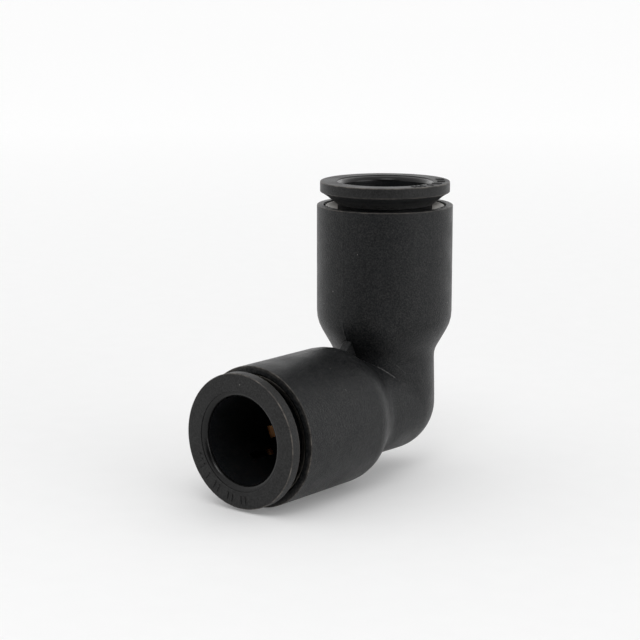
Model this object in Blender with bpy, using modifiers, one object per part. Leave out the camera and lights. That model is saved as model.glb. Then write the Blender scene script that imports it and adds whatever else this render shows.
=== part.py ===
"""Push-to-connect union elbow for 8 mm (5/16 in) tube.

Two identical sockets stand at right angles on one moulded body.  Socket lengths are measured from the
point where the two socket axes cross, outwards along each axis.  Each socket holds, from its mouth
inwards, a release sleeve, an end collar pressed into the body, a toothed grab ring, a support ring and
a seal ring.  Metres, +Z up, origin under the middle of the fitting's bounding box.
"""
import math

import bmesh
import bpy
from mathutils import Matrix, Vector

MM = 0.001

# Tube and facets
TUBE_R = 4.0 * MM
SEGMENTS = 48
PROFILE_MERGE = 0.00001
CUT_OVERRUN = 1.0 * MM

# Body, distances along a socket's axis
FACE_AT = 21.35 * MM           # front face of the release sleeve
BODY_R = 6.5 * MM
BODY_MOUTH = 19.1 * MM
CONE_START = 5.0 * MM
CONE_END = 7.92 * MM
NECK_R = 4.83 * MM
CORNER_R = 4.93 * MM
RIM_CHAMFER = 0.15 * MM
FLOW_R = 3.05 * MM
FLOW_END = -2.2 * MM
TUBE_STOP = 5.0 * MM
GUIDE_R = TUBE_R + 0.1 * MM
CHAMBER_START = 8.85 * MM
CHAMBER_R = 5.6 * MM
COLLAR_SEAT = 13.05 * MM
COLLAR_BORE_R = 5.76 * MM
BARB_START = 13.9 * MM
BARB_END = 14.7 * MM
BARB_HEIGHT = 0.2 * MM
WEB_THICKNESS = 1.0 * MM
WEB_WIDTH = 2.0 * MM
WEB_ROOT = 5.6 * MM            # from the crossing, along the line halfway between the axes
WEB_REACH = 8.78 * MM

# End collar
FIT_GAP = 0.04 * MM
COLLAR_R = COLLAR_BORE_R - FIT_GAP
COLLAR_FACE = BODY_MOUTH - 0.1 * MM
COLLAR_EDGE = 0.12 * MM
COUNTERSINK_R = 5.5 * MM
COUNTERSINK_END = 18.3 * MM
LAND_R = 4.76 * MM
LAND_END = 15.8 * MM
RECESS_R = 5.05 * MM

# Release sleeve
FLANGE_R = 6.2 * MM
FLANGE_BACK = 20.43 * MM
FLANGE_EDGE = 0.12 * MM
UNDERCUT_R = 5.66 * MM
UNDERCUT_AT = 20.12 * MM
SLEEVE_NECK_R = 4.68 * MM
SLEEVE_NECK_AT = 19.2 * MM
SLEEVE_BORE_R = TUBE_R + 0.1 * MM
MOUTH_R = 4.54 * MM
MOUTH_DEPTH = 0.45 * MM
LEAD_IN_DEPTH = 1.1 * MM
BEAD_R = 4.98 * MM
BEAD_TOP = LAND_END - 0.05 * MM
BEAD_BOTTOM = 15.1 * MM
NOSE_END = 12.8 * MM
NOSE_TIP_R = 4.35 * MM
NOSE_SLOTS = 4
NOSE_SLOT_WIDTH = 0.8 * MM
NOSE_SLOT_END = 16.4 * MM

# Grab ring
GRAB_RIM_R = 5.5 * MM
GRAB_RIM_TOP = 12.95 * MM
GRAB_THICKNESS = 0.28 * MM
TOOTH_ROOT_R = 4.98 * MM
TOOTH_TIP_R = 3.65 * MM
TOOTH_COUNT = 10
TOOTH_GAP = 1.6 * MM
TOOTH_PHASE = math.radians(20.7)

# Support ring
SUPPORT_R = 5.54 * MM
SUPPORT_TOP = 12.6 * MM
SUPPORT_BOTTOM = 10.7 * MM
SUPPORT_CONE_R = 5.14 * MM
SUPPORT_CONE_END = 11.1 * MM

# Seal ring
SEAL_SECTION_R = 0.88 * MM
SEAL_AT = 9.77 * MM
SEAL_RING_R = CHAMBER_R - SEAL_SECTION_R - 0.05 * MM
SEAL_SIDES = 12

# The two axes cross half a box length forward of the box's middle, one body radius above its bottom
CROSSING = Vector((0, (FACE_AT - BODY_R) / 2, BODY_R))
SOCKETS = {
    "top": Matrix.Translation(CROSSING),
    "front": Matrix.Translation(CROSSING) @ Matrix.Rotation(math.pi / 2, 4, "X"),
}


def clear_scene():
    for obj in list(bpy.data.objects):
        bpy.data.objects.remove(obj, do_unlink=True)


def collection(name):
    group = bpy.data.collections.new(name)
    bpy.context.scene.collection.children.link(group)
    return group


def material(name, colour, roughness, metallic=0.0):
    made = bpy.data.materials.new(name)
    made.use_nodes = True
    shader = made.node_tree.nodes["Principled BSDF"]
    shader.inputs["Base Color"].default_value = (*colour, 1)
    shader.inputs["Roughness"].default_value = roughness
    shader.inputs["Metallic"].default_value = metallic
    return made


def new_object(name, mesh, group, place=Matrix.Identity(4)):
    obj = bpy.data.objects.new(name, mesh)
    obj.matrix_world = place
    group.objects.link(obj)
    return obj


def turned(name, profile, closed, group, place):
    """Turns a profile of (radius, height) points round the local Z axis.

    A ring's profile is closed.  A solid's profile is open and starts and ends on the axis.
    Either runs down its outer side.
    """
    mesh = bpy.data.meshes.new(name)
    count = len(profile)
    edges = [(i, i + 1) for i in range(count - 1)]
    if closed:
        edges.append((count - 1, 0))
    mesh.from_pydata([(r, 0, z) for r, z in profile], edges, [])
    obj = new_object(name, mesh, group, place)
    screw = obj.modifiers.new("Turn", "SCREW")
    screw.axis = "Z"
    screw.angle = 2 * math.pi
    screw.steps = screw.render_steps = SEGMENTS
    screw.use_merge_vertices = True
    screw.merge_threshold = PROFILE_MERGE
    screw.use_smooth_shade = True
    return obj


def boxes(name, sizes_and_places, group, place):
    """One object of separate boxes, each given as its size and its place."""
    mesh = bpy.data.meshes.new(name)
    shape = bmesh.new()
    for size, local in sizes_and_places:
        bmesh.ops.create_cube(shape, size=1, matrix=local @ Matrix.Diagonal((*size, 1)))
    shape.to_mesh(mesh)
    shape.free()
    return new_object(name, mesh, group, place)


def hide_helper(obj):
    obj.hide_render = True
    obj.display_type = "WIRE"


def combine(target, tool, operation):
    change = target.modifiers.new(operation.title(), "BOOLEAN")
    change.operation = operation
    change.solver = "EXACT"
    change.object = tool
    hide_helper(tool)


def arm_profile():
    """Outside of one arm of the body, from the mouth down to the crossing."""
    return [
        (0, BODY_MOUTH),
        (BODY_R - RIM_CHAMFER, BODY_MOUTH),
        (BODY_R, BODY_MOUTH - RIM_CHAMFER),
        (BODY_R, CONE_END),
        (NECK_R, CONE_START),
        (NECK_R, 0),
        (0, 0),
    ]


def bore_profile():
    """Inside of one arm: mouth, barb groove, ring chamber, tube guide and flow passage."""
    return [
        (0, BODY_MOUTH + CUT_OVERRUN),
        (COLLAR_BORE_R, BODY_MOUTH + CUT_OVERRUN),
        (COLLAR_BORE_R, BARB_END + FIT_GAP),
        (COLLAR_BORE_R + BARB_HEIGHT, BARB_END + FIT_GAP),
        (COLLAR_BORE_R + BARB_HEIGHT, BARB_END - FIT_GAP),
        (COLLAR_BORE_R, BARB_START - FIT_GAP),
        (COLLAR_BORE_R, COLLAR_SEAT),
        (CHAMBER_R, COLLAR_SEAT),
        (CHAMBER_R, CHAMBER_START),
        (GUIDE_R, CHAMBER_START),
        (GUIDE_R, TUBE_STOP),
        (FLOW_R, TUBE_STOP),
        (FLOW_R, FLOW_END),
        (0, FLOW_END),
    ]


def make_body(parts, cutters):
    body = turned("elbow_body", arm_profile(), False, parts, SOCKETS["top"])
    front_arm = turned("front_arm", arm_profile(), False, cutters, SOCKETS["front"])
    combine(body, front_arm, "UNION")

    corner_mesh = bpy.data.meshes.new("outer_corner")
    shape = bmesh.new()
    bmesh.ops.create_uvsphere(shape, u_segments=SEGMENTS, v_segments=SEGMENTS // 2, radius=CORNER_R)
    shape.to_mesh(corner_mesh)
    shape.free()
    poles_along_x = Matrix.Translation(CROSSING) @ Matrix.Rotation(math.pi / 2, 4, "Y")
    corner = new_object("outer_corner", corner_mesh, cutters, poles_along_x)
    combine(body, corner, "UNION")

    # A web in the symmetry plane crosses the notch between the two arms, square to its middle line
    web_height = WEB_REACH - WEB_ROOT
    lean = Matrix.Rotation(math.radians(45), 4, "X")
    web_middle = Matrix.Translation((0, 0, WEB_ROOT + web_height / 2))
    web = boxes(
        "crotch_web",
        [((WEB_THICKNESS, WEB_WIDTH, web_height), lean @ web_middle)],
        cutters,
        Matrix.Translation(CROSSING),
    )
    combine(body, web, "UNION")

    for port, place in SOCKETS.items():
        bore = turned(port + "_bore", bore_profile(), False, cutters, place)
        combine(body, bore, "DIFFERENCE")
    return body


def make_collar(port, place, parts):
    barb_r = COLLAR_R + BARB_HEIGHT
    profile = [
        (COUNTERSINK_R, COLLAR_FACE),
        (COLLAR_R - COLLAR_EDGE, COLLAR_FACE),
        (COLLAR_R, COLLAR_FACE - COLLAR_EDGE),
        (COLLAR_R, BARB_END),
        (barb_r, BARB_END),
        (barb_r, BARB_END - FIT_GAP),
        (COLLAR_R, BARB_START),
        (COLLAR_R, COLLAR_SEAT + FIT_GAP),
        (RECESS_R, COLLAR_SEAT + FIT_GAP),
        (RECESS_R, LAND_END),
        (LAND_R, LAND_END),
        (LAND_R, COUNTERSINK_END),
    ]
    return turned(port + "_end_collar", profile, True, parts, place)


def make_sleeve(port, place, parts, cutters):
    lead_r = (MOUTH_R + SLEEVE_BORE_R) / 2
    profile = [
        (MOUTH_R, FACE_AT),
        (FLANGE_R - FLANGE_EDGE, FACE_AT),
        (FLANGE_R, FACE_AT - FLANGE_EDGE),
        (FLANGE_R, FLANGE_BACK),
        (UNDERCUT_R, UNDERCUT_AT),
        (SLEEVE_NECK_R, SLEEVE_NECK_AT),
        (SLEEVE_NECK_R, BEAD_TOP),
        (BEAD_R, BEAD_TOP),
        (BEAD_R, BEAD_BOTTOM),
        (SLEEVE_NECK_R, BEAD_BOTTOM - (BEAD_R - SLEEVE_NECK_R)),
        (SLEEVE_NECK_R, NOSE_END + (SLEEVE_NECK_R - NOSE_TIP_R)),
        (NOSE_TIP_R, NOSE_END),
        (SLEEVE_BORE_R, NOSE_END),
        (SLEEVE_BORE_R, FACE_AT - LEAD_IN_DEPTH),
        (lead_r, FACE_AT - MOUTH_DEPTH),
    ]
    sleeve = turned(port + "_release_sleeve", profile, True, parts, place)

    slot_start = NOSE_END - CUT_OVERRUN
    slot_size = (2 * MM, NOSE_SLOT_WIDTH, NOSE_SLOT_END - slot_start)
    slots = []
    for index in range(NOSE_SLOTS):
        turn = Matrix.Rotation(2 * math.pi * (index + 0.5) / NOSE_SLOTS, 4, "Z")
        middle = Vector((SLEEVE_NECK_R, 0, (NOSE_SLOT_END + slot_start) / 2))
        slots.append((slot_size, turn @ Matrix.Translation(middle)))
    combine(sleeve, boxes(port + "_nose_slots", slots, cutters, place), "DIFFERENCE")
    return sleeve


def make_grab_ring(port, place, parts, cutters):
    """A flat rim whose inner edge is bent inwards at 45 degrees and slotted into teeth."""
    drop = TOOTH_ROOT_R - TOOTH_TIP_R
    slant = GRAB_THICKNESS * math.tan(math.pi / 8)
    tip_step = GRAB_THICKNESS / math.sqrt(2)
    rim_bottom = GRAB_RIM_TOP - GRAB_THICKNESS
    profile = [
        (TOOTH_ROOT_R, GRAB_RIM_TOP),
        (GRAB_RIM_R, GRAB_RIM_TOP),
        (GRAB_RIM_R, rim_bottom),
        (TOOTH_ROOT_R + slant, rim_bottom),
        (TOOTH_TIP_R + tip_step, GRAB_RIM_TOP - drop - tip_step),
        (TOOTH_TIP_R, GRAB_RIM_TOP - drop),
    ]
    ring = turned(port + "_grab_ring", profile, True, parts, place)

    inner_r = TOOTH_TIP_R - 0.4 * MM
    outer_r = TOOTH_ROOT_R - 0.1 * MM
    top = GRAB_RIM_TOP + CUT_OVERRUN
    bottom = GRAB_RIM_TOP - drop - CUT_OVERRUN
    gap_size = (outer_r - inner_r, TOOTH_GAP, top - bottom)
    gaps = []
    for index in range(TOOTH_COUNT):
        turn = Matrix.Rotation(TOOTH_PHASE + 2 * math.pi * (index + 0.5) / TOOTH_COUNT, 4, "Z")
        middle = Vector(((inner_r + outer_r) / 2, 0, (top + bottom) / 2))
        gaps.append((gap_size, turn @ Matrix.Translation(middle)))
    combine(ring, boxes(port + "_tooth_gaps", gaps, cutters, place), "DIFFERENCE")
    return ring


def make_support_ring(port, place, parts):
    profile = [
        (SUPPORT_CONE_R, SUPPORT_TOP),
        (SUPPORT_R, SUPPORT_TOP),
        (SUPPORT_R, SUPPORT_BOTTOM),
        (GUIDE_R, SUPPORT_BOTTOM),
        (GUIDE_R, SUPPORT_CONE_END),
    ]
    return turned(port + "_support_ring", profile, True, parts, place)


def make_seal(port, place, parts):
    step = 2 * math.pi / SEAL_SIDES
    profile = []
    for index in range(SEAL_SIDES):
        angle = math.pi / 2 - index * step
        radius = SEAL_RING_R + SEAL_SECTION_R * math.cos(angle)
        profile.append((radius, SEAL_AT + SEAL_SECTION_R * math.sin(angle)))
    return turned(port + "_seal_ring", profile, True, parts, place)


def finish_with(obj, surface):
    obj.data.materials.append(surface)


def main():
    clear_scene()
    parts = collection("push_to_connect_elbow")
    cutters = collection("cutters")

    finish_with(make_body(parts, cutters), material("body_nylon", (0.035, 0.035, 0.036), 0.55))
    for port, place in SOCKETS.items():
        sleeve = make_sleeve(port, place, parts, cutters)
        finish_with(sleeve, material(port + "_sleeve_acetal", (0.04, 0.04, 0.041), 0.48))
        collar = make_collar(port, place, parts)
        finish_with(collar, material(port + "_collar_nickel", (0.55, 0.53, 0.5), 0.25, 1.0))
        grab = make_grab_ring(port, place, parts, cutters)
        finish_with(grab, material(port + "_grab_bronze", (0.5, 0.24, 0.1), 0.35, 1.0))
        support = make_support_ring(port, place, parts)
        finish_with(support, material(port + "_support_acetal", (0.05, 0.05, 0.052), 0.5))
        seal = make_seal(port, place, parts)
        finish_with(seal, material(port + "_seal_rubber", (0.02, 0.02, 0.02), 0.7))


main()
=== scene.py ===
import math

import bmesh
import bpy
import numpy as np
from mathutils import Matrix, Vector


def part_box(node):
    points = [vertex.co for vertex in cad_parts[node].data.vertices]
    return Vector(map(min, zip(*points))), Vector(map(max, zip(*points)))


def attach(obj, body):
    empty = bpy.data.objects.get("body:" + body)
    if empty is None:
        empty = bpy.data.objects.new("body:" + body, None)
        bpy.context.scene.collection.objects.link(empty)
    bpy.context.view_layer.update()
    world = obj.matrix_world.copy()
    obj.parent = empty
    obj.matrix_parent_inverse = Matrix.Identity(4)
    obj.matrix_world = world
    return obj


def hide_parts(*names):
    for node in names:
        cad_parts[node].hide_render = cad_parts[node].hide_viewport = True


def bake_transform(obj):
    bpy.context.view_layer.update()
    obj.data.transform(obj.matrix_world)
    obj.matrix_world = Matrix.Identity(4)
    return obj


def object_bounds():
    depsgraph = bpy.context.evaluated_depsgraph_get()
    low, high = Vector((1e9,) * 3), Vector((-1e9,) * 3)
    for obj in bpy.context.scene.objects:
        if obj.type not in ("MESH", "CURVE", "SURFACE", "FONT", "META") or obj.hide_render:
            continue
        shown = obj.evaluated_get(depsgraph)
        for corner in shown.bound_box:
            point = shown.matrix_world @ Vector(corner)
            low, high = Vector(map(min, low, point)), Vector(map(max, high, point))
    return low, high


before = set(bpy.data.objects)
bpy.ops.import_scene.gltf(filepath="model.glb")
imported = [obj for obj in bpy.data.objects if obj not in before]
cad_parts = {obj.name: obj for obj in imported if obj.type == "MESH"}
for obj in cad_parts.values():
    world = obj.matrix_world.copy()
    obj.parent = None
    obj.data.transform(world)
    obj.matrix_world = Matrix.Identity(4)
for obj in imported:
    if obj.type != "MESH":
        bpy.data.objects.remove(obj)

MM = 0.001
CAD_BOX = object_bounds()

# Driving sizes, read from the frame
BODY_LOW, BODY_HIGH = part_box("elbow_body")
SLEEVE_LOW, SLEEVE_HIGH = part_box("top_release_sleeve")
COLLAR_LOW, COLLAR_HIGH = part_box("top_end_collar")
GRAB_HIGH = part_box("top_grab_ring")[1]
SUPPORT_LOW, SUPPORT_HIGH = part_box("top_support_ring")
SEAL_LOW, SEAL_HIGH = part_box("top_seal_ring")

BODY_R = BODY_HIGH.x
CROSSING = Vector((0, BODY_HIGH.y - BODY_R, BODY_LOW.z + BODY_R))
BODY_MOUTH = BODY_HIGH.z - CROSSING.z
FACE_AT = SLEEVE_HIGH.z - CROSSING.z
FLANGE_R = SLEEVE_HIGH.x
SLEEVE_END = SLEEVE_LOW.z - CROSSING.z
COLLAR_TOP = COLLAR_HIGH.z - CROSSING.z
COLLAR_BOTTOM = COLLAR_LOW.z - CROSSING.z

SOCKETS = {
    "top": Matrix.Translation(CROSSING),
    "front": Matrix.Translation(CROSSING) @ Matrix.Rotation(math.pi / 2, 4, "X"),
}

TURNS = 192                      # facets round a turned piece
ARC_STEP = math.radians(12)      # facets of a rounded edge
SHARP_ANGLE = math.radians(40)   # an edge that bends more than this stays sharp
BEVEL_SEGMENTS = 4
WELD = 1e-7                      # points closer than this become one
TINY = 1e-9                      # heights closer than this are the same
NOISE_RANGE = (0.3, 0.7)         # most of a noise's values lie between these


# ---------------------------------------------------------------- outlines and meshes

def rounded(corners, closed=True):
    """Points of an outline given as (radius, height, fillet) corners, each fillet drawn as an arc."""
    points = []
    last = len(corners) - 1
    for index, (r, z, fillet) in enumerate(corners):
        corner = Vector((r, z))
        if fillet == 0 or (not closed and index in (0, last)):
            points.append(corner)
            continue
        back = (Vector(corners[index - 1][:2]) - corner).normalized()
        onward = (Vector(corners[(index + 1) % len(corners)][:2]) - corner).normalized()
        half = back.angle(onward) / 2
        middle = corner + (back + onward).normalized() * fillet / math.sin(half)
        start = corner + back * fillet / math.tan(half) - middle
        end = corner + onward * fillet / math.tan(half) - middle
        from_angle = math.atan2(start.y, start.x)
        turn = math.remainder(math.atan2(end.y, end.x) - from_angle, 2 * math.pi)
        steps = max(2, math.ceil(abs(turn) / ARC_STEP))
        for step in range(steps + 1):
            angle = from_angle + turn * step / steps
            points.append(middle + fillet * Vector((math.cos(angle), math.sin(angle))))
    return points


def grid_mesh(name, columns, wrap_rows):
    """A mesh of quads between neighbouring columns of points.  The columns close on each other."""
    count, rows = len(columns), len(columns[0])
    vertices = [point for column in columns for point in column]
    faces = []
    for j in range(count):
        here, beside = j * rows, (j + 1) % count * rows
        for i in range(rows if wrap_rows else rows - 1):
            after = (i + 1) % rows
            faces.append((here + i, here + after, beside + after, beside + i))
    mesh = bpy.data.meshes.new(name)
    mesh.from_pydata(vertices, [], faces)
    return mesh


def add_object(name, mesh, place):
    made = bpy.data.objects.new(name, mesh)
    bpy.context.scene.collection.objects.link(made)
    made.matrix_world = place
    return made


def turned_object(name, outline, place, count=TURNS):
    """A ring: a closed outline that runs down its outer side, turned round the local Z axis."""
    columns = []
    for j in range(count):
        angle = 2 * math.pi * j / count
        c, s = math.cos(angle), math.sin(angle)
        columns.append([(r * c, r * s, z) for r, z in outline])
    return add_object(name, grid_mesh(name, columns, wrap_rows=True), place)


def shade_round(obj):
    """Smooth shading that leaves real edges sharp."""
    obj.data.shade_smooth()
    obj.data.set_sharp_from_angle(angle=SHARP_ANGLE)


def shade_flat_and_round(obj):
    """Smooth shading that leaves real edges sharp and flat faces flat."""
    shade_round(obj)
    weighted = obj.modifiers.new("Flat faces", "WEIGHTED_NORMAL")
    weighted.keep_sharp = True


def carve(obj, tool, operation="DIFFERENCE"):
    """Applies an exact boolean with another object, which is removed."""
    change = obj.modifiers.new("Carve", "BOOLEAN")
    change.operation = operation
    change.solver = "EXACT"
    change.object = tool
    bpy.context.view_layer.update()
    evaluated = obj.evaluated_get(bpy.context.evaluated_depsgraph_get())
    result = bpy.data.meshes.new_from_object(evaluated)
    obj.modifiers.remove(change)
    obj.data = result
    bpy.data.objects.remove(tool, do_unlink=True)


def blocks(name, sizes_and_places, place, bevel=0.0):
    """Separate boxes in one object, each given as its size and its place, with rounded edges."""
    shape = bmesh.new()
    for size, local in sizes_and_places:
        bmesh.ops.create_cube(shape, size=1, matrix=local @ Matrix.Diagonal((*size, 1)))
    if bevel:
        bmesh.ops.bevel(
            shape, geom=shape.edges[:], offset=bevel, segments=BEVEL_SEGMENTS, profile=0.5, affect="EDGES"
        )
    mesh = bpy.data.meshes.new(name)
    shape.to_mesh(mesh)
    shape.free()
    return add_object(name, mesh, place)


def adopt(obj, body, node, slot, *surfaces):
    """Stands for a CAD node, moves with its body and takes the surfaces as finishes; the slot is not used.
    """
    obj.data.materials.clear()
    for surface in surfaces:
        obj.data.materials.append(surface)
    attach(obj, body)
    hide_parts(node)


# ---------------------------------------------------------------- materials

class Surface:
    """A Principled material whose colour, roughness and relief come from textures in piece coordinates.

    A socket is named with _ for each space in its name, or by its number after a _.
    """

    def __init__(self, name, **constants):
        self.material = bpy.data.materials.new(name)
        self.material.use_nodes = True
        self.tree = self.material.node_tree
        self.shader = self.tree.nodes["Principled BSDF"]
        for socket, value in constants.items():
            self.shader.inputs[socket.replace("_", " ")].default_value = value
        self.place = self.tree.nodes.new("ShaderNodeTexCoord").outputs["Object"]
        self.bump = None

    def node(self, kind, settings=None, **inputs):
        """A new node; an input is linked where it is given an output, and otherwise set."""
        made = self.tree.nodes.new(kind)
        for key, value in (settings or {}).items():
            setattr(made, key, value)
        for socket, value in inputs.items():
            numbered = socket.startswith("_")
            target = made.inputs[int(socket[1:]) if numbered else socket.replace("_", " ")]
            if isinstance(value, bpy.types.NodeSocket):
                self.tree.links.new(value, target)
            else:
                target.default_value = value
        return made

    def noise(self, size, detail, rough=0.5, where=None):
        """Cloudy noise whose features are about that size."""
        made = self.node(
            "ShaderNodeTexNoise",
            Vector=where or self.place,
            Scale=1 / size,
            Detail=detail,
            Roughness=rough,
        )
        return made.outputs[0]

    def specks(self, spacing, share, radius):
        """1 in small round specks, of which only a share of the cells holds one, and 0 elsewhere."""
        cells = self.node("ShaderNodeTexVoronoi", Vector=self.place, Scale=1 / spacing)
        near = self.remap(cells.outputs["Distance"], radius / spacing, radius * 0.4 / spacing)
        pick = self.node("ShaderNodeSeparateColor", Color=cells.outputs["Color"])
        chosen = self.calculate("LESS_THAN", pick.outputs[0], share)
        return self.calculate("MULTIPLY", near, chosen)

    def calculate(self, operation, a, b):
        return self.node("ShaderNodeMath", {"operation": operation}, _0=a, _1=b).outputs[0]

    def vector_calculate(self, operation, a, b, output="Vector"):
        made = self.node("ShaderNodeVectorMath", {"operation": operation}, _0=a, _1=b)
        return made.outputs[output]

    def remap(self, value, low, high, to_low=0, to_high=1):
        """The value's range from low to high stretched over another, and held at that one's ends."""
        made = self.node(
            "ShaderNodeMapRange", Value=value, From_Min=low, From_Max=high, To_Min=to_low, To_Max=to_high
        )
        return made.outputs[0]

    def spread(self, noise, low, high):
        """A noise's usual range stretched from low to high."""
        return self.remap(noise, *NOISE_RANGE, low, high)

    def mix(self, share, a, b):
        """Colour a where the share is 0 and colour b where it is 1."""
        return self.node("ShaderNodeMix", {"data_type": "RGBA"}, _0=share, _6=a, _7=b).outputs[2]

    def overlay(self, tone, mask, strength, colour):
        """The tone, covered by a colour up to a strength where the mask is 1."""
        return self.mix(self.calculate("MULTIPLY", mask, strength), tone, colour)

    def scaled(self, scale):
        """Piece coordinates multiplied by a vector."""
        return self.vector_calculate("MULTIPLY", self.place, scale)

    def length(self, vector):
        made = self.node("ShaderNodeVectorMath", {"operation": "LENGTH"}, _0=vector)
        return made.outputs["Value"]

    def near(self, away, width):
        """1 where a distance is nearly 0, fading to 0 a width away."""
        return self.remap(away, width, 0.3 * width)

    def near_circle(self, axis, radius, height, width):
        """1 on the circle of that radius and height about an axis, fading to 0 a width away from it."""
        along = self.vector_calculate("DOT_PRODUCT", self.place, axis, "Value")
        across = self.length(self.scaled(tuple(1 - abs(c) for c in axis)))
        away = self.node(
            "ShaderNodeCombineXYZ",
            _0=self.calculate("SUBTRACT", across, radius),
            _1=self.calculate("SUBTRACT", along, height),
        )
        return self.near(self.length(away.outputs[0]), width)

    def near_line(self, start, end, width):
        """1 on a straight line between two points, fading to 0 a width away from it."""
        run = end - start
        arm = self.vector_calculate("SUBTRACT", self.place, start)
        along = self.vector_calculate("DOT_PRODUCT", arm, run / run.length_squared, "Value")
        share = self.remap(along, 0, 1)
        nearest = self.node("ShaderNodeVectorMath", {"operation": "SCALE"}, _0=run, Scale=share)
        away = self.vector_calculate("SUBTRACT", arm, nearest.outputs[0])
        return self.near(self.length(away), width)

    def drive(self, **links):
        """Links outputs to the shader's own inputs."""
        for socket, output in links.items():
            self.tree.links.new(output, self.shader.inputs[socket.replace("_", " ")])

    def relief(self, height, depth):
        """Adds bump whose full height is that depth, on top of any there is."""
        bump = self.node("ShaderNodeBump", Height=height, Distance=depth)
        if self.bump is not None:
            self.tree.links.new(self.bump, bump.inputs["Normal"])
        self.bump = bump.outputs[0]
        self.tree.links.new(self.bump, self.shader.inputs["Normal"])


def grey(level, warm=0.0):
    return (level * (1 + warm), level, level * (1 - warm), 1)


FIBRE_END = grey(0.035)
DUST = grey(0.25, 0.04)
# pale rubbed edges, partly painted edge highlights
RUBBED_AND_HIGHLIT = grey(0.2, 0.12)
# pale scratches, and a painted highlight along the crease between the arms
SCRATCHED_AND_HIGHLIT = grey(0.2, 0.02)


def moulded_plastic(
    name, level, warm, roughness, sheen, grain, worn_and_highlit_edges=(), scratches_and_highlights=(), dust_and_painted_light=None
):
    """Black glass-filled plastic: spark-eroded grain, cloudy gloss, pale fibre ends, dust, wear and
    painted light.

    A worn edge, partly a painted highlight, is the axis, radius and height of a circle, then its width
    and strength.  A scratch line, some of them painted highlights, is its start, end, width and strength.
    Dust and painted light is a clean height, a height where both are fullest, and the grey level there.
    """
    made = Surface(name, IOR=1.5, Specular_IOR_Level=sheen)
    cloud = made.noise(2.0 * MM, detail=3)
    bloom = made.noise(0.8 * MM, detail=2)
    mottle = made.noise(0.14 * MM, detail=2, rough=0.7)
    patches = made.remap(made.noise(0.9 * MM, detail=4, rough=0.8), 0.42, 0.62, 0.2, 1)

    tone = made.mix(cloud, grey(level * 0.4, warm), grey(level * 1.2, warm))
    # lighter down the neck: dust, and painted light in the shaded gap under the flange
    if dust_and_painted_light:
        clean_height, dust_and_light_height, dust_and_light_level = dust_and_painted_light
        along = made.node("ShaderNodeSeparateXYZ", Vector=made.place).outputs[2]
        tone = made.mix(made.remap(along, clean_height, dust_and_light_height), tone, grey(dust_and_light_level))
    glint = made.remap(made.mix(0.12, mottle, bloom), 0.4, 0.65)
    tone = made.mix(glint, tone, grey(level + 0.018 * grain))
    fibres = made.specks(spacing=0.45 * MM, share=0.3, radius=0.07 * MM)
    tone = made.overlay(tone, fibres, 0.5, FIBRE_END)
    dust = made.specks(spacing=1.5 * MM, share=0.25, radius=0.07 * MM)
    tone = made.overlay(tone, dust, 0.6, DUST)
    # rubbed edges, partly painted edge highlights
    for axis, radius, height, width, strength in worn_and_highlit_edges:
        rubbed_and_highlit = made.calculate("MULTIPLY", made.near_circle(axis, radius, height, width), patches)
        tone = made.overlay(tone, rubbed_and_highlit, strength, RUBBED_AND_HIGHLIT)
    # scratches, and a painted highlight along the crease between the arms
    for start, end, width, strength in scratches_and_highlights:
        scratched_and_highlit = made.calculate("MULTIPLY", made.near_line(start, end, width), patches)
        tone = made.overlay(tone, scratched_and_highlit, strength, SCRATCHED_AND_HIGHLIT)

    gloss = made.spread(cloud, roughness - 0.06, roughness + 0.06)
    made.drive(Base_Color=tone, Roughness=gloss)
    made.relief(bloom, 0.01 * MM * grain)
    made.relief(mottle, 0.04 * MM * grain)
    return made.material


def polished_plastic(name, level, roughness):
    """The same plastic where the mould is polished: glossy, with the faintest waviness."""
    made = Surface(name, IOR=1.5, Specular_IOR_Level=0.27)
    cloud = made.noise(1.2 * MM, detail=2)
    tone = made.mix(cloud, grey(level * 0.8), grey(level * 1.2))
    gloss = made.spread(cloud, roughness - 0.04, roughness + 0.06)
    made.drive(Base_Color=tone, Roughness=gloss)
    made.relief(made.noise(0.6 * MM, detail=3), 0.03 * MM)
    return made.material


def turned_nickel(name):
    """Nickel plate over turned brass: fine tool lines round the axis, and the end face darker towards its
    outer edge.
    """
    shaded, pale = (0.27, 0.26, 0.24, 1), (0.36, 0.345, 0.32, 1)
    line_shade, outer_dark = (0.14, 0.125, 0.105, 1), (0.09, 0.082, 0.07, 1)
    tool_pitch = 0.06 * MM
    outer_dark_start, outer_dark_end = 5.16 * MM, 5.3 * MM
    made = Surface(name, Metallic=1.0)
    radius = made.length(made.scaled((1, 1, 0)))
    turning = made.node(
        "ShaderNodeTexNoise", {"noise_dimensions": "1D"}, W=radius, Scale=1 / tool_pitch, Detail=2.0
    )
    lines = turning.outputs[0]
    cloud = made.noise(1.5 * MM, detail=3)
    tone = made.mix(cloud, shaded, pale)
    tone = made.mix(made.remap(lines, 0.35, 0.7, 0.5, 0), tone, line_shade)
    # the end face darker towards its outer edge
    tone = made.mix(made.remap(radius, outer_dark_start, outer_dark_end, 0, 0.6), tone, outer_dark)
    made.drive(Base_Color=tone, Roughness=made.spread(cloud, 0.3, 0.42))
    made.relief(lines, 0.001 * MM)
    return made.material


def spring_bronze(name):
    """Stamped phosphor bronze with fine rolling lines and a brown film."""
    deep, bright, brown = (0.95, 0.44, 0.17, 1), (1.0, 0.55, 0.25, 1), (0.25, 0.12, 0.06, 1)
    made = Surface(name, Metallic=1.0)
    rolled = made.noise(0.2 * MM, detail=2, where=made.scaled((1, 6, 1)))
    cloud = made.noise(0.8 * MM, detail=3)
    tone = made.mix(made.spread(rolled, 0.12, 0), made.mix(cloud, deep, bright), brown)
    made.drive(Base_Color=tone, Roughness=made.spread(cloud, 0.5, 0.62))
    made.relief(rolled, 0.004 * MM)
    return made.material


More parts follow.
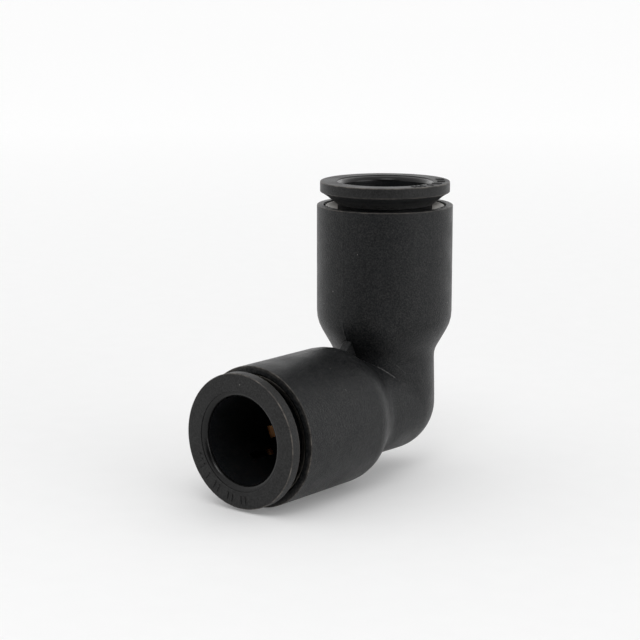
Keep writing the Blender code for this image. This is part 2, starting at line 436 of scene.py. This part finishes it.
def seal_rubber(name):
    """Nitrile rubber with a thin film of grease."""
    made = Surface(name, IOR=1.52, Specular_IOR_Level=0.5)
    cloud = made.noise(0.9 * MM, detail=3)
    tone = made.mix(cloud, grey(0.008), grey(0.016))
    made.drive(Base_Color=tone, Roughness=made.remap(cloud, 0.35, 0.65, 0.25, 0.6))
    made.relief(made.noise(0.12 * MM, detail=2), 0.004 * MM)
    return made.material


# ---------------------------------------------------------------- body

# Outside of an arm, up from the crossing
CORNER_R = 4.93 * MM
NECK_R = 4.83 * MM
CONE_START = 5.0 * MM
CONE_END = 7.92 * MM
NECK_FILLET = 2.2 * MM
SHOULDER_FILLET = 3.6 * MM
RIM_FILLET = 0.08 * MM
DRAFT_STEPS = 8                  # rows of the neck's slight taper
EVEN_ROWS_TOP = 6.2 * MM         # evenly spaced rows end here, below the shoulder

# Fillet between the arms, by a share that is 1 at the crotch and 0 at the elbow's sides
CREASE = 0.14 * MM
CREASE_FADE = 1.3 * MM           # what it grows by towards the sides, where the arms run together
CREASE_TIGHTENS = (0.84, 0.9)    # shares between which it tightens towards the crotch
CREASE_TIGHTENING = 0.7
CREASE_RUNS_OUT = (0.62, 0.32)   # shares between which it widens towards the sides

# Parting line of the mould
RIDGE_HEIGHT = 0.02 * MM
RIDGE_WIDTH = math.radians(0.7)
RIDGE_COLUMNS = (0.35, 0.7, 1.1, 1.8)    # extra columns beside it, in ridge widths

# Inside of an arm
PRESS_GAP = 0.04 * MM            # between the pressed-in collar and the body
COLLAR_BORE_R = COLLAR_HIGH.x - 0.16 * MM
COLLAR_SEAT = COLLAR_BOTTOM - PRESS_GAP
BARB_TOP = 14.7 * MM
BARB_BOTTOM = 13.9 * MM
BARB_HEIGHT = 0.2 * MM
CHAMBER_R = 5.6 * MM
CHAMBER_START = 8.85 * MM
GUIDE_R = 4.1 * MM
TUBE_STOP = 5.0 * MM
FLOW_R = 3.05 * MM
FLOW_TOP = TUBE_STOP - 0.3 * MM
FLOW_CREASE = 0.2 * MM

BEND_ROWS = 12                   # rows from the plane where the arms meet to the arm proper
ARM_ROWS = 44
FLOW_ROWS = 14
MEETING_ROUNDS = 60              # rounds of the search for the point where the arms meet

# Web in the notch between the arms, leaning halfway between them
WEB_WIDTH = 0.86 * MM
WEB_DEPTH = 2.0 * MM
WEB_ROOT = 5.6 * MM
WEB_REACH = 8.78 * MM
WEB_EDGE = 0.1 * MM

# Rubbed edges round the mouths, partly painted edge highlights: axis, radius, height, width and strength
BODY_RUBS_AND_HIGHLIGHTS = [
    (axis, BODY_R - inset, BODY_MOUTH, width, strength)
    for axis in ((0, 0, 1), (0, -1, 0))
    for inset, width, strength in ((0.03 * MM, 0.08 * MM, 0.45), (0.15 * MM, 0.2 * MM, 0.14))
]

# Light marks on the body in mm, scratches and first a painted highlight along the crease between the arms:
# where a line starts and ends, its width and how much of the black it hides
BODY_SCRATCHES_AND_CREASE_HIGHLIGHT = [
    (Vector(start) * MM, Vector(end) * MM, width * MM, strength)
    for start, end, width, strength in (
        # a painted highlight along the crease between the arms
        ((2.5, -4.21, 4.21), (3.19, -3.72, 3.72), 0.07, 0.3),
        ((3.19, -3.72, 3.72), (3.68, -3.23, 3.23), 0.07, 0.35),
        # scratches
        ((3.79, -3.04, 4.36), (4.29, -2.29, 3.55), 0.05, 0.25),
        ((2.58, -8.83, 5.97), (2.69, -8.57, 5.92), 0.05, 0.6),
        ((2.71, -8.47, 5.91), (2.76, -8.32, 5.89), 0.05, 0.6),
        ((2.81, -8.23, 5.86), (3.02, -7.95, 5.76), 0.04, 0.4),
        ((5.16, -12.62, 3.96), (5.26, -12.58, 3.82), 0.06, 0.6),
        ((1.2, -9.22, 6.39), (1.25, -9.2, 6.38), 0.07, 0.7),
        ((2.32, -9.37, 6.07), (2.36, -9.35, 6.06), 0.05, 0.6),
    )
]


def column_angles():
    """Angles round an arm, with extra ones at the mould's parting line on its front and back."""
    angles = [2 * math.pi * j / TURNS for j in range(TURNS)]
    for middle in (math.pi / 2, 3 * math.pi / 2):
        for share in RIDGE_COLUMNS:
            angles += [middle - share * RIDGE_WIDTH, middle + share * RIDGE_WIDTH]
    return sorted(angles)


def parting_ridge(angle):
    away = min(abs(angle - math.pi / 2), abs(angle - 3 * math.pi / 2))
    return RIDGE_HEIGHT * math.exp(-((away / RIDGE_WIDTH) ** 2))


def progress(value, start, end):
    """0 up to the start, 1 from the end on, and even between them."""
    return min(1, max(0, (value - start) / (end - start)))


def crease_fillet(share):
    """Length of the fillet between the arms, where share is 1 at the crotch and 0 at the elbow's sides."""
    tight = progress(share, *CREASE_TIGHTENS)
    fade = progress(share, *CREASE_RUNS_OUT)
    at_crotch = CREASE * share * (1 - CREASE_TIGHTENING * tight)
    at_sides = CREASE_FADE * fade * fade * (3 - 2 * fade) * math.sqrt(share)
    return at_crotch + at_sides


def flow_crease(share):
    """The same inside, where the two flow passages meet."""
    return FLOW_CREASE * share


def lower_arm(angle, radius_at, top, crease, rows):
    """One column of an arm's surface, from the plane where the arms meet up to a height.

    On the outer side of the elbow the surface turns about the X axis, as a ball's would.  On the inner
    side it stops at the other arm, with a small fillet.
    """
    c, s = math.cos(angle), math.sin(angle)
    points = []
    if s >= 0:
        start, base = 0.0, radius_at(0)
        for i in range(BEND_ROWS):
            turn = math.pi / 4 * (1 - i / BEND_ROWS)
            points.append((base * c, base * s * math.cos(turn), -base * s * math.sin(turn)))
    else:
        meet = 0.0
        for _ in range(MEETING_ROUNDS):
            meet = -s * radius_at(meet)
        start = meet + crease(-s)
        reach = radius_at(start)
        corner = Vector((radius_at(meet) * c, -meet, meet))
        upper = Vector((reach * c, reach * s, start))
        mirrored = Vector((reach * c, -start, -reach * s))
        for i in range(BEND_ROWS):
            t = 0.5 + 0.5 * i / BEND_ROWS
            points.append(mirrored * (1 - t) ** 2 + corner * 2 * t * (1 - t) + upper * t**2)
    for i in range(rows):
        z = start + (top - start) * i / rows
        r = radius_at(z)
        points.append((r * c, r * s, z))
    return [tuple(p) for p in points]


def outer_profile():
    """The outside of one arm, as points of radius and height up to its mouth."""
    draft = [
        (CORNER_R - (CORNER_R - NECK_R) * (k / DRAFT_STEPS) ** 1.5, CONE_START * k / DRAFT_STEPS, 0)
        for k in range(DRAFT_STEPS - 1)
    ]
    corners = draft + [
        (NECK_R, CONE_START, NECK_FILLET),
        (BODY_R, CONE_END, SHOULDER_FILLET),
        (BODY_R, BODY_MOUTH, RIM_FILLET),
        (COLLAR_BORE_R, BODY_MOUTH, 0),
    ]
    return rounded(corners, closed=False)


def bore_profile():
    """The inside of one arm, from the mouth down to the flow passage."""
    barb_r = COLLAR_BORE_R + BARB_HEIGHT
    corners = [
        (COLLAR_BORE_R + 0.3 * MM, BODY_MOUTH, 0),
        (COLLAR_BORE_R, BODY_MOUTH, 0.1 * MM),
        (COLLAR_BORE_R, BARB_TOP + PRESS_GAP, 0),
        (barb_r, BARB_TOP + PRESS_GAP, 0),
        (barb_r, BARB_TOP - PRESS_GAP, 0),
        (COLLAR_BORE_R, BARB_BOTTOM - PRESS_GAP, 0),
        (COLLAR_BORE_R, COLLAR_SEAT, 0),
        (CHAMBER_R, COLLAR_SEAT, 0.05 * MM),
        (CHAMBER_R, CHAMBER_START, 0.15 * MM),
        (GUIDE_R, CHAMBER_START, 0.2 * MM),
        (GUIDE_R, TUBE_STOP, 0.1 * MM),
        (FLOW_R, TUBE_STOP, 0.1 * MM),
        (FLOW_R, FLOW_TOP, 0),
    ]
    return rounded(corners, closed=False)


def arm_mesh(name):
    """The skin of the top arm, outside and inside, from the plane where the arms meet."""
    outside = outer_profile()
    wall_end = next(k for k, p in enumerate(outside) if p.y > BODY_MOUTH - TINY)
    heights = np.array([p.y for p in outside[:wall_end]])
    radii = np.array([p.x for p in outside[:wall_end]])
    upper = [p for p in outside if p.y > EVEN_ROWS_TOP]
    inside = bore_profile()
    columns = []
    for angle in column_angles():
        ridge = parting_ridge(angle)
        c, s = math.cos(angle), math.sin(angle)

        def outer_r(z):
            return float(np.interp(z, heights, radii)) + ridge

        column = lower_arm(angle, outer_r, EVEN_ROWS_TOP, crease_fillet, ARM_ROWS)
        for p in upper:
            r = p.x + (ridge if p.y < BODY_MOUTH - RIM_FILLET - TINY else 0)
            column.append((r * c, r * s, p.y))
        column += [(p.x * c, p.x * s, p.y) for p in inside[1:-1]]
        column += lower_arm(angle, lambda z: FLOW_R, FLOW_TOP, flow_crease, FLOW_ROWS)[::-1]
        columns.append(column)
    return grid_mesh(name, columns, wrap_rows=False)


def add_other_arm(mesh):
    """Joins the arm to its mirror image in the plane between the arms, which turns +Z into -Y."""
    mirror = Matrix(((1, 0, 0, 0), (0, 0, -1, 0), (0, -1, 0, 0), (0, 0, 0, 1)))
    shape = bmesh.new()
    shape.from_mesh(mesh)
    arm = shape.verts[:] + shape.edges[:] + shape.faces[:]
    copy = bmesh.ops.duplicate(shape, geom=arm)["geom"]
    copied = [part for part in copy if isinstance(part, bmesh.types.BMVert)]
    bmesh.ops.transform(shape, matrix=mirror, verts=copied)
    bmesh.ops.remove_doubles(shape, verts=shape.verts[:], dist=WELD)
    bmesh.ops.dissolve_degenerate(shape, dist=WELD, edges=shape.edges[:])
    bmesh.ops.recalc_face_normals(shape, faces=shape.faces[:])
    shape.to_mesh(mesh)
    shape.free()


def crotch_web():
    """A small plate that stands in the notch between the arms."""
    lean = Matrix.Rotation(math.radians(45), 4, "X")
    middle = Matrix.Translation((0, 0, (WEB_ROOT + WEB_REACH) / 2))
    size = (WEB_WIDTH, WEB_DEPTH, WEB_REACH - WEB_ROOT)
    return blocks("crotch_web", [(size, lean @ middle)], SOCKETS["top"], WEB_EDGE)


def make_body(surface):
    mesh = arm_mesh("elbow_body_moulding")
    add_other_arm(mesh)
    body = add_object(mesh.name, mesh, SOCKETS["top"])
    carve(body, crotch_web(), "UNION")
    shade_flat_and_round(body)
    adopt(body, "housing", "elbow_body", "body_nylon", surface)


# ---------------------------------------------------------------- release sleeve

SLEEVE_BORE_R = 4.06 * MM
SLEEVE_NECK_R = 4.52 * MM
MOUTH_R = 4.56 * MM              # where the polished mouth meets the step in the face
STEP_DEPTH = 0.08 * MM
POLISHED_DEPTH = 0.62 * MM       # the polish reaches this far into the mouth
FLANGE_BACK = 20.35 * MM
FLANGE_FILLET = 0.1 * MM
UNDER_FLANGE = (                 # cone from the flange to the neck: radius, height and fillet
    (6.03 * MM, 20.28 * MM, 0.05 * MM),
    (5.56 * MM, 19.98 * MM, 0.3 * MM),
    (5.38 * MM, 19.82 * MM, 0.1 * MM),
)
NECK_TOP = 19.13 * MM
WALL_ROWS = (16.7 * MM, 18.5 * MM, 19.7 * MM)    # extra rows up the straight wall, for its finishes
BEAD_R = 4.98 * MM
BEAD_TOP = 15.75 * MM
BEAD_BOTTOM = 15.1 * MM
NOSE_TIP_R = 4.36 * MM

NOSE_SLOTS = 4
SLOT_TOP = 16.4 * MM
SLOT_WIDTH = 0.8 * MM
SLOT_LENGTH = 2 * MM             # across the wall, with room to spare
SLOT_OVERRUN = 1 * MM            # past the nose

MARK_INNER_R = 5.0 * MM
MARK_OUTER_R = 5.75 * MM
MARK_HEIGHT = 0.07 * MM
MARK_TAPER = 0.012 * MM
MARKS_AT = {"top": math.radians(15), "front": math.radians(-120)}    # middle of each row of marks
MARK_COLUMNS = (-21, -18, -15, -9, -3, 0, 7, 10, 16, 19)             # marked facets, from the middle

# The sleeve's surfaces, in the order of its slots, and where one gives way to another
# the last of these surfaces is the acetal darkened deeper in the bore, a painted shade
SATIN, POLISHED, DUSTY_AND_PAINTED_LIGHT, PAINTED_SHADE_IN_BORE = range(4)
INNER_SIDE_R = MOUTH_R + 0.04 * MM
OUTER_SIDE_R = SLEEVE_NECK_R - 0.1 * MM
UNDERSIDE = FLANGE_BACK - 0.05 * MM
# the sleeve's outside grows lighter down the neck: dust, and painted light in the shaded gap
DUST_AND_PAINTED_LIGHT_ON_NECK = (19.9 * MM, 19.15 * MM, 0.13)    # clean height, height where dust and painted light are fullest, and their level of grey

# Rubbed edges of the flange, front and back, partly painted edge highlights: axis, radius, height, width
# and strength
FLANGE_RUBS_AND_HIGHLIGHTS = (
    ((0, 0, 1), FLANGE_R - 0.03 * MM, FACE_AT - 0.03 * MM, 0.08 * MM, 0.5),
    ((0, 0, 1), FLANGE_R - 0.04 * MM, FLANGE_BACK + 0.04 * MM, 0.08 * MM, 0.3),
)


def sleeve_outline():
    """Round the sleeve's wall.  The first stretch is the ring of the face that takes the marks."""
    corners = [
        (MARK_INNER_R, FACE_AT, 0),
        (MARK_OUTER_R, FACE_AT, 0),
        (FLANGE_R, FACE_AT, FLANGE_FILLET),
        (FLANGE_R, FLANGE_BACK, 0.13 * MM),
        *UNDER_FLANGE,
        (SLEEVE_NECK_R, NECK_TOP, 0.15 * MM),
        (SLEEVE_NECK_R, WALL_ROWS[0], 0),
        (SLEEVE_NECK_R, BEAD_TOP, 0.05 * MM),
        (BEAD_R, BEAD_TOP, 0.05 * MM),
        (BEAD_R, BEAD_BOTTOM, 0.05 * MM),
        (SLEEVE_NECK_R, BEAD_BOTTOM - 0.3 * MM, 0.1 * MM),
        (SLEEVE_NECK_R, SLEEVE_END + 0.26 * MM, 0.1 * MM),
        (NOSE_TIP_R, SLEEVE_END, 0.08 * MM),
        (SLEEVE_BORE_R, SLEEVE_END, 0.06 * MM),
        *((SLEEVE_BORE_R, height, 0) for height in WALL_ROWS),
        (SLEEVE_BORE_R, FACE_AT - STEP_DEPTH, 0.46 * MM),
        (MOUTH_R + 0.03 * MM, FACE_AT - STEP_DEPTH, 0.01 * MM),
        (MOUTH_R + 0.05 * MM, FACE_AT, 0.02 * MM),
    ]
    return rounded(corners)


def raise_marks(mesh, rows, middle):
    """Plain raised bars in the face's ring of marks, one facet wide, in place of a size mark.

    Each column of the mesh has that many rows, and its first facet lies in the ring.
    """
    first = round(middle / (2 * math.pi) * TURNS)
    columns = [(first + k) % TURNS for k in MARK_COLUMNS]
    shape = bmesh.new()
    shape.from_mesh(mesh)
    shape.faces.ensure_lookup_table()
    bars = [shape.faces[column * rows] for column in columns]
    bmesh.ops.inset_individual(shape, faces=bars, thickness=MARK_TAPER, depth=MARK_HEIGHT)
    shape.to_mesh(mesh)
    shape.free()


def nose_slots(port):
    """Blocks that cut the sleeve's nose into fingers."""
    bottom = SLEEVE_END - SLOT_OVERRUN
    size = (SLOT_LENGTH, SLOT_WIDTH, SLOT_TOP - bottom)
    middle = Matrix.Translation((SLEEVE_NECK_R, 0, (bottom + SLOT_TOP) / 2))
    cuts = []
    for index in range(NOSE_SLOTS):
        turn = Matrix.Rotation(2 * math.pi * (index + 0.5) / NOSE_SLOTS, 4, "Z")
        cuts.append((size, turn @ middle))
    return blocks(port + "_nose_slots", cuts, SOCKETS[port])


def sleeve_surface_at(radius, height):
    if radius < INNER_SIDE_R:
        # deeper in the bore the acetal is darkened, a painted shade
        return POLISHED if height > FACE_AT - POLISHED_DEPTH else PAINTED_SHADE_IN_BORE
    # outside, below the flange: dust, and painted light lightening down the neck
    if radius > OUTER_SIDE_R and height < UNDERSIDE:
        return DUSTY_AND_PAINTED_LIGHT
    return SATIN


def make_sleeve(port, surfaces):
    outline = sleeve_outline()
    sleeve = turned_object(port + "_release_sleeve_moulding", outline, SOCKETS[port])
    raise_marks(sleeve.data, len(outline), MARKS_AT[port])
    carve(sleeve, nose_slots(port))
    shade_flat_and_round(sleeve)
    adopt(sleeve, port + "_sleeve", port + "_release_sleeve", "sleeve_acetal", *surfaces)
    for face in sleeve.data.polygons:
        x, y, z = face.center
        face.material_index = sleeve_surface_at(math.hypot(x, y), z)


# ---------------------------------------------------------------- collar and rings

COLLAR_FACE_R = 5.52 * MM        # inner edge of the end face, where the lead-in starts
COLLAR_LAND_R = 4.76 * MM
COLLAR_LAND_TOP = 18.3 * MM
COLLAR_LAND_BOTTOM = 15.8 * MM
COLLAR_COUNTERBORE_R = 5.05 * MM

GRAB_TURNS = 240
GRAB_THICKNESS = 0.28 * MM
TEETH = 10
TOOTH_ROOT_R = 4.98 * MM
TOOTH_TIP_R = 3.65 * MM
TOOTH_DROP = TOOTH_ROOT_R - TOOTH_TIP_R
TOOTH_ROWS = 6
GAP_WIDTH = 1.6 * MM
GAP_INNER_R = TOOTH_TIP_R - 0.4 * MM
GAP_OUTER_R = TOOTH_ROOT_R - 0.1 * MM
GAP_HEIGHT = 2 * TOOTH_DROP + 2 * MM
TOOTH_PHASE = math.radians(20.7)

SUPPORT_TOP_R = 5.14 * MM
SUPPORT_EDGE = 0.12 * MM
SEAL_SIDES = 32


def make_collar(port, surface):
    """Turned and plated ring that is pressed into the mouth and holds the sleeve in."""
    r = COLLAR_BORE_R - PRESS_GAP
    corners = [
        (COLLAR_FACE_R, COLLAR_TOP, 0.03 * MM),
        (r, COLLAR_TOP, 0.08 * MM),
        (r, BARB_TOP, 0),
        (r + BARB_HEIGHT, BARB_TOP, 0.02 * MM),
        (r + BARB_HEIGHT, BARB_TOP - 0.05 * MM, 0),
        (r, BARB_BOTTOM, 0),
        (r, COLLAR_BOTTOM, 0.08 * MM),
        (COLLAR_COUNTERBORE_R, COLLAR_BOTTOM, 0.05 * MM),
        (COLLAR_COUNTERBORE_R, COLLAR_LAND_BOTTOM, 0.05 * MM),
        (COLLAR_LAND_R, COLLAR_LAND_BOTTOM, 0.05 * MM),
        (COLLAR_LAND_R, COLLAR_LAND_TOP, 0.08 * MM),
    ]
    collar = turned_object(port + "_end_collar_turning", rounded(corners), SOCKETS[port])
    shade_flat_and_round(collar)
    adopt(collar, "housing", port + "_end_collar", "collar_nickel", surface)


def grab_outline(rim_top):
    """Section of a flat rim whose inner part bends down at 45 degrees to the teeth's tips."""
    bend = GRAB_THICKNESS * math.tan(math.pi / 8)
    square_cut = GRAB_THICKNESS / math.sqrt(2)
    under_root = Vector((TOOTH_ROOT_R + bend, rim_top - GRAB_THICKNESS))
    under_tip = Vector((TOOTH_TIP_R + square_cut, rim_top - TOOTH_DROP - square_cut))
    corners = [
        (TOOTH_ROOT_R, rim_top, 0.2 * MM),
        (GRAB_HIGH.x, rim_top, 0.04 * MM),
        (GRAB_HIGH.x, rim_top - GRAB_THICKNESS, 0.04 * MM),
        (*under_root, 0.3 * MM),
    ]
    for k in range(1, TOOTH_ROWS + 1):
        corners.append((*under_root.lerp(under_tip, k / TOOTH_ROWS), 0))
    for k in range(TOOTH_ROWS):
        share = k / TOOTH_ROWS
        corners.append((TOOTH_TIP_R + TOOTH_DROP * share, rim_top - TOOTH_DROP * (1 - share), 0))
    return rounded(corners)


def tooth_gaps(port, rim_top):
    """Blocks that cut the ring's inner part into teeth."""
    size = (GAP_OUTER_R - GAP_INNER_R, GAP_WIDTH, GAP_HEIGHT)
    middle = Matrix.Translation(((GAP_INNER_R + GAP_OUTER_R) / 2, 0, rim_top - TOOTH_DROP / 2))
    cuts = []
    for index in range(TEETH):
        turn = Matrix.Rotation(TOOTH_PHASE + 2 * math.pi * (index + 0.5) / TEETH, 4, "Z")
        cuts.append((size, turn @ middle))
    return blocks(port + "_tooth_gaps", cuts, SOCKETS[port])


def make_grab_ring(port, surface):
    """Stamped ring of spring teeth, fixed in its seat; the real teeth bend with the sleeve, these do not.
    """
    rim_top = GRAB_HIGH.z - CROSSING.z
    name = port + "_grab_ring_stamping"
    ring = turned_object(name, grab_outline(rim_top), SOCKETS[port], GRAB_TURNS)
    carve(ring, tooth_gaps(port, rim_top))
    shade_round(ring)
    ring.data.materials.append(surface)
    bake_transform(ring)
    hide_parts(port + "_grab_ring")


def make_support_ring(port, surface):
    """Backs the teeth on one side and the seal on the other."""
    r = SUPPORT_HIGH.x
    top = SUPPORT_HIGH.z - CROSSING.z
    bottom = SUPPORT_LOW.z - CROSSING.z
    corners = [
        (SUPPORT_TOP_R, top, 0.05 * MM),
        (r, top, 0.08 * MM),
        (r, bottom, 0.1 * MM),
        (GUIDE_R, bottom, 0.04 * MM),
        (GUIDE_R, bottom + SUPPORT_EDGE, 0.04 * MM),
    ]
    ring = turned_object(port + "_support_ring_moulding", rounded(corners), SOCKETS[port])
    shade_flat_and_round(ring)
    adopt(ring, "housing", port + "_support_ring", "support_acetal", surface)


def make_seal(port, surface):
    """Moulded seal ring of round section."""
    section = (SEAL_HIGH.z - SEAL_LOW.z) / 2
    middle_r = SEAL_HIGH.x - section
    height = (SEAL_HIGH.z + SEAL_LOW.z) / 2 - CROSSING.z
    outline = []
    for index in range(SEAL_SIDES):
        angle = math.pi / 2 - 2 * math.pi * index / SEAL_SIDES
        outline.append((middle_r + section * math.cos(angle), height + section * math.sin(angle)))
    ring = turned_object(port + "_seal_ring_moulding", outline, SOCKETS[port])
    ring.data.shade_smooth()
    adopt(ring, "housing", port + "_seal_ring", "seal_rubber", surface)


# ---------------------------------------------------------------- stage, light and camera

CAMERA_AZIMUTH = math.radians(38.85)
CAMERA_ELEVATION = math.radians(11.07)
CAMERA_DISTANCE = 188.3 * MM
AIM_LEFT = 6.2 * MM              # the view's middle, left of and above the crossing
AIM_UP = 7.66 * MM
SENSOR = 36                      # mm
LENS = 108.65                    # mm
CLIP_NEAR = 0.01
CLIP_FAR = 20

FLOOR_REACH = 6
FLOOR_DARKENS = (65 * MM, 200 * MM)      # towards the camera, out of its sight
FLOOR_GLOW = (0.13, 0.24)                # under the object and far from it
FLOOR_GLOW_AT = (60 * MM, 350 * MM)

DARK_SIDE_AZIMUTH = math.radians(34)
RIGHT_PANEL_AZIMUTH = math.radians(94)

LIGHT_TOWARDS = Vector((0.323, -0.549, 0.746))
LIGHT_DISTANCE = 0.45
LIGHT_SIZE = 0.2
LIGHT_WATTS = 0.35


def make_camera():
    a, e = CAMERA_AZIMUTH, CAMERA_ELEVATION
    right = Vector((math.cos(a), math.sin(a), 0))
    back = Vector((math.sin(a) * math.cos(e), -math.cos(a) * math.cos(e), math.sin(e)))
    up = back.cross(right)
    data = bpy.data.cameras.new("camera")
    data.sensor_width = SENSOR
    data.lens = LENS
    data.clip_start = CLIP_NEAR
    data.clip_end = CLIP_FAR
    camera = bpy.data.objects.new("camera", data)
    bpy.context.scene.collection.objects.link(camera)
    aim = CROSSING - right * AIM_LEFT + up * AIM_UP
    turn = Matrix((right, up, back)).transposed().to_4x4()
    camera.matrix_world = Matrix.Translation(aim + back * CAMERA_DISTANCE) @ turn
    bpy.context.scene.camera = camera


def make_floor():
    shape = bmesh.new()
    bmesh.ops.create_grid(shape, x_segments=1, y_segments=1, size=FLOOR_REACH)
    mesh = bpy.data.meshes.new("floor")
    shape.to_mesh(mesh)
    shape.free()
    floor = add_object("floor", mesh, Matrix.Translation((0, 0, CAD_BOX[0].z)))
    paper = Surface("pale_floor", Roughness=0.9, Emission_Color=(1, 1, 1, 1))
    towards_camera = (math.sin(CAMERA_AZIMUTH), -math.cos(CAMERA_AZIMUTH), 0)
    ahead = paper.vector_calculate("DOT_PRODUCT", paper.place, towards_camera, "Value")
    dark = paper.remap(ahead, *FLOOR_DARKENS)
    fibre = paper.mix(paper.noise(3 * MM, detail=2), grey(0.72), grey(0.74))
    glow = paper.remap(paper.length(paper.place), *FLOOR_GLOW_AT, *FLOOR_GLOW)
    paper.drive(
        Base_Color=paper.mix(dark, fibre, grey(0.12)),
        Emission_Strength=paper.calculate("MULTIPLY", glow, paper.remap(dark, 0, 1, 1, 0)),
    )
    floor.data.materials.append(paper.material)


def light_panel(tree, azimuth, start, end, away, inside):
    """A value that goes from one level to another where the direction nears a horizontal one."""
    where = tree.nodes.new("ShaderNodeTexCoord").outputs["Generated"]
    facing = tree.nodes.new("ShaderNodeVectorMath")
    facing.operation = "DOT_PRODUCT"
    facing.inputs[1].default_value = (math.sin(azimuth), -math.cos(azimuth), 0)
    tree.links.new(where, facing.inputs[0])
    fade = tree.nodes.new("ShaderNodeMapRange")
    fade.interpolation_type = "SMOOTHSTEP"
    levels = (("From Min", start), ("From Max", end), ("To Min", away), ("To Max", inside))
    for socket, value in levels:
        fade.inputs[socket].default_value = value
    tree.links.new(facing.outputs["Value"], fade.inputs["Value"])
    return fade.outputs["Result"]


def make_world():
    """Even pale light, dark on the camera's side and brighter from the right."""
    world = bpy.data.worlds.new("studio")
    bpy.context.scene.world = world
    world.use_nodes = True
    tree = world.node_tree
    background = tree.nodes["Background"]
    dark_side = light_panel(tree, DARK_SIDE_AZIMUTH, start=0.55, end=0.95, away=1.0, inside=0.05)
    right_panel = light_panel(tree, RIGHT_PANEL_AZIMUTH, start=0.8, end=0.96, away=0.0, inside=1.7)
    total = tree.nodes.new("ShaderNodeMath")
    total.operation = "ADD"
    tree.links.new(dark_side, total.inputs[0])
    tree.links.new(right_panel, total.inputs[1])
    tree.links.new(total.outputs[0], background.inputs["Strength"])
    background.inputs["Color"].default_value = (1, 1, 1, 1)


def make_light():
    """A round softbox above the object, aimed at the crossing of its axes."""
    data = bpy.data.lights.new("overhead_softbox", "AREA")
    data.shape = "DISK"
    data.size = LIGHT_SIZE
    data.energy = LIGHT_WATTS
    light = bpy.data.objects.new(data.name, data)
    bpy.context.scene.collection.objects.link(light)
    offset = LIGHT_TOWARDS * LIGHT_DISTANCE
    aim = (-offset).to_track_quat("-Z", "Y").to_matrix().to_4x4()
    light.matrix_world = Matrix.Translation(CROSSING + offset) @ aim


def main():
    bpy.context.scene.view_settings.view_transform = "Standard"
    make_camera()
    make_floor()
    make_world()
    make_light()

    nylon = moulded_plastic(
        "black_nylon",
        level=0.0035,
        warm=-0.3,
        roughness=0.39,
        sheen=0.212,
        grain=1.0,
        worn_and_highlit_edges=BODY_RUBS_AND_HIGHLIGHTS,
        scratches_and_highlights=BODY_SCRATCHES_AND_CREASE_HIGHLIGHT,
    )
    satin = moulded_plastic(
        "black_acetal",
        level=0.0135,
        warm=0,
        roughness=0.42,
        sheen=0.175,
        grain=0.7,
        worn_and_highlit_edges=FLANGE_RUBS_AND_HIGHLIGHTS,
    )
    # lighter down the neck: dust, and painted light in the gap under the flange
    dust_and_painted_light = moulded_plastic(
        "black_acetal_dusty_painted_light",
        level=0.015,
        warm=-0.1,
        roughness=0.5,
        sheen=0.2,
        grain=0.8,
        dust_and_painted_light=DUST_AND_PAINTED_LIGHT_ON_NECK,
    )
    # the same acetal darkened in the bore: a painted shade
    painted_shade_bore = moulded_plastic(
        "black_acetal_bore_painted_shade", level=0.0035, warm=-0.4, roughness=0.42, sheen=0.16, grain=0.5
    )
    polished = polished_plastic("black_acetal_polished", level=0.004, roughness=0.2)
    support = polished_plastic("support_acetal", level=0.014, roughness=0.4)
    nickel = turned_nickel("nickel_plate")
    bronze = spring_bronze("spring_bronze")
    rubber = seal_rubber("seal_rubber")

    make_body(nylon)
    for port in SOCKETS:
        make_sleeve(port, (satin, polished, dust_and_painted_light, painted_shade_bore))
        make_collar(port, nickel)
        make_grab_ring(port, bronze)
        make_support_ring(port, support)
        make_seal(port, rubber)


main()
